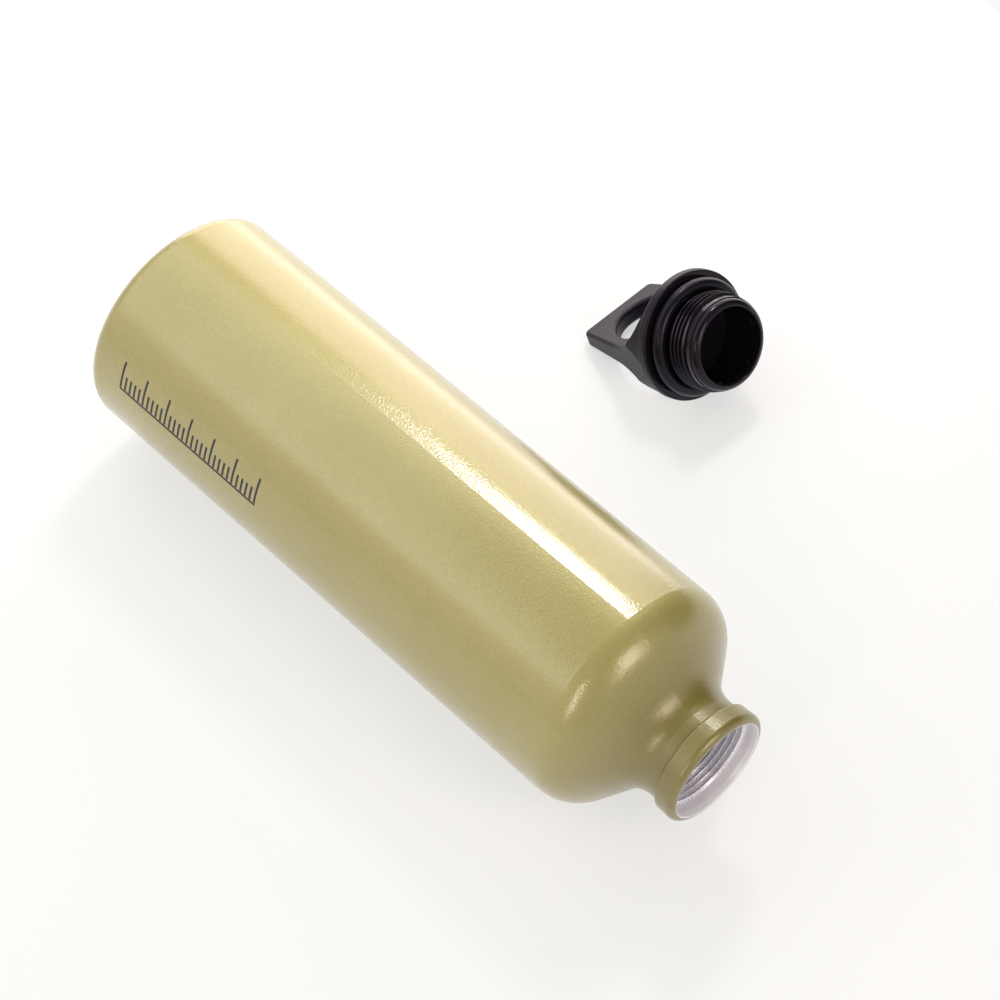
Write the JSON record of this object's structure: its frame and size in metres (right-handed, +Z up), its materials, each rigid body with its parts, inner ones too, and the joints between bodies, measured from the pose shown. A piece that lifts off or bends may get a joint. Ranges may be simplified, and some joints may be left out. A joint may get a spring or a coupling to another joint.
{
  "type": "camping fuel bottle",
  "caption": "Round aluminium fuel bottle with a sloping shoulder and beaded threaded neck, lying beside its screw cap, which has a loop handle and a rubber seal ring.",
  "frame": {"origin": "middle of the bottom of the box round the bottle and its cap, on the surface they lie on", "axes": "+X along the bottle's axis from its base to its mouth, +Y from the bottle towards the cap beside it, +Z up"},
  "size_m": [0.228, 0.1754, 0.073],
  "materials": {
    "coated_shell": "powder-coated outside, bare machined metal at the mouth",
    "cap_plastic": "satin moulded handle and flange, glossy thread and nose",
    "seal_rubber": "semi-gloss"
  },
  "bodies": {
    "bottle": {"bottle_shell": "coated_shell"},
    "seal": {"seal_ring": "seal_rubber"},
    "cap": {"screw_cap": "cap_plastic"}
  },
  "joints": [
    {"name": "cap_lift", "type": "slide", "parent": "bottle", "child": "seal", "axis": [0, 0, 1], "range_m": [0, 0.1]},
    {"name": "cap_turn", "type": "hinge", "parent": "seal", "child": "cap", "pos_m": [-0.0065, 0.06675, 0.01972], "axis": [0.8787, 0, 0.4774], "range_deg": [0, 1440]}
  ]
}
